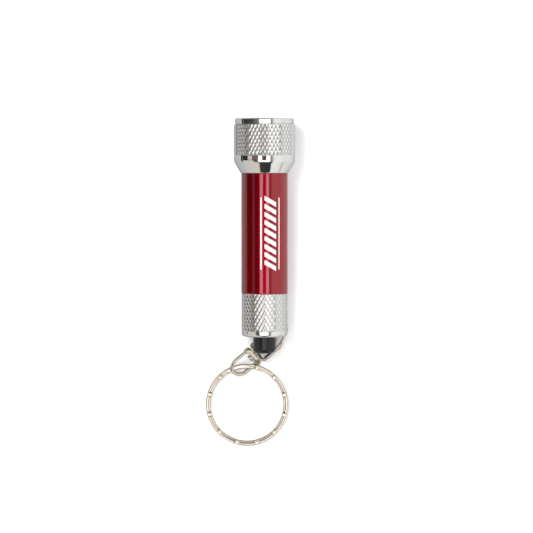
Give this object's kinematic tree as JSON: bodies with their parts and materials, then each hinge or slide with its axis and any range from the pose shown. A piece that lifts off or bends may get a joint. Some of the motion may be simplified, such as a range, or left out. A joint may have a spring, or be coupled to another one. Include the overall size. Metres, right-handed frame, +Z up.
{
  "type": "keychain flashlight",
  "caption": "Small turned flashlight with a knurled screw head and tail cap, a tail push button, and a swivel with a split ring.",
  "frame": {"origin": "middle of the object's bounding box at its base, where it lies on a table", "axes": "+Y along the light towards its head, +Z up from the table, +X to the right seen from above"},
  "size_m": [0.0272, 0.0996, 0.0192],
  "materials": {
    "plated_metal": "bright, knurled",
    "red_anodised": "satin metallic red",
    "black_plastic": "satin moulded",
    "nickel_wire": "bright warm nickel",
    "clear_window": "clear",
    "led_resin": "clear resin",
    "reflector_plastic": "metallised plastic",
    "seal_rubber": "matte",
    "board": "solder mask",
    "resistor_body": "lacquered",
    "spring_steel": "plated wire",
    "sleeve_plastic": "natural",
    "switch_plastic": "moulded",
    "contact_brass": "stamped",
    "cell_steel": "plated can"
  },
  "bodies": {
    "barrel": {"barrel": "red_anodised", "battery_sleeve": "sleeve_plastic", "cell_1": "cell_steel", "cell_2": "cell_steel", "cell_3": "cell_steel", "cell_4": "cell_steel", "tail_spring": "spring_steel"},
    "light_module": {"led_holder": "reflector_plastic", "led_board": "board", "led_resistor": "resistor_body", "front_spring": "spring_steel", "led_1": "led_resin", "led_2": "led_resin", "led_3": "led_resin", "led_4": "led_resin", "led_5": "led_resin"},
    "head": {"head_shell": "plated_metal", "lens": "clear_window", "lens_seal": "seal_rubber"},
    "switch_module": {"switch_housing": "switch_plastic", "switch_contact": "contact_brass", "switch_retainer": "switch_plastic", "switch_spring": "spring_steel"},
    "tail_cap": {"tail_cap": "plated_metal"},
    "button": {"push_button": "black_plastic", "switch_plunger": "switch_plastic"},
    "rotor": {"switch_rotor": "switch_plastic"},
    "upper_bail": {"upper_bail": "nickel_wire", "swivel_rivet": "nickel_wire"},
    "lower_bail": {"lower_bail": "nickel_wire"},
    "ring": {"split_ring": "nickel_wire"}
  },
  "joints": [
    {"name": "head_lift", "type": "slide", "parent": "barrel", "child": "light_module", "axis": [0, 0.9991, 0.0427], "range_m": [0, 0.003]},
    {"name": "head_turn", "type": "hinge", "parent": "light_module", "child": "head", "pos_m": [0.00431, 0.04765, 0.00995], "axis": [0, 0.9991, 0.0427], "range_deg": [0, 1440]},
    {"name": "tail_lift", "type": "slide", "parent": "barrel", "child": "switch_module", "axis": [0, -0.9991, -0.0427], "range_m": [0, 0.003]},
    {"name": "tail_turn", "type": "hinge", "parent": "switch_module", "child": "tail_cap", "pos_m": [0.00431, -0.01129, 0.00743], "axis": [0, -0.9991, -0.0427], "range_deg": [0, 1440]},
    {"name": "button_press", "type": "slide", "parent": "switch_module", "child": "button", "axis": [0, 0.9991, 0.0427], "range_m": [0, 0.0015], "stiffness_N_per_m": 700, "springref_m": -0.0007, "deforming": ["switch_spring"]},
    {"name": "rotor_index", "type": "hinge", "parent": "button", "child": "rotor", "pos_m": [0.00431, -0.01129, 0.00743], "axis": [0, 0.9991, 0.0427], "range_deg": [0, 45]},
    {"name": "bail_swing", "type": "hinge", "parent": "tail_cap", "child": "upper_bail", "pos_m": [0.00847, -0.01618, 0.00462], "axis": [0.645, 0.6659, -0.3749], "range_deg": [-85, 15]},
    {"name": "swivel_spin", "type": "hinge", "parent": "upper_bail", "child": "lower_bail", "pos_m": [0.00093, -0.02226, 0.00283], "axis": [0.766, 0.6428, 0], "continuous": true},
    {"name": "ring_flip", "type": "hinge", "parent": "lower_bail", "child": "ring", "pos_m": [-0.0027, -0.02561, 0.00189], "axis": [-0.99, -0.1387, -0.0247], "range_deg": [0, 80]}
  ],
  "couplings": [
    {"joint": "head_lift", "follows": "head_turn", "m_per_rad": 0.00011937},
    {"joint": "tail_lift", "follows": "tail_turn", "m_per_rad": 0.00011937},
    {"joint": "rotor_index", "follows": "button_press", "rad_per_m": 523.6}
  ]
}
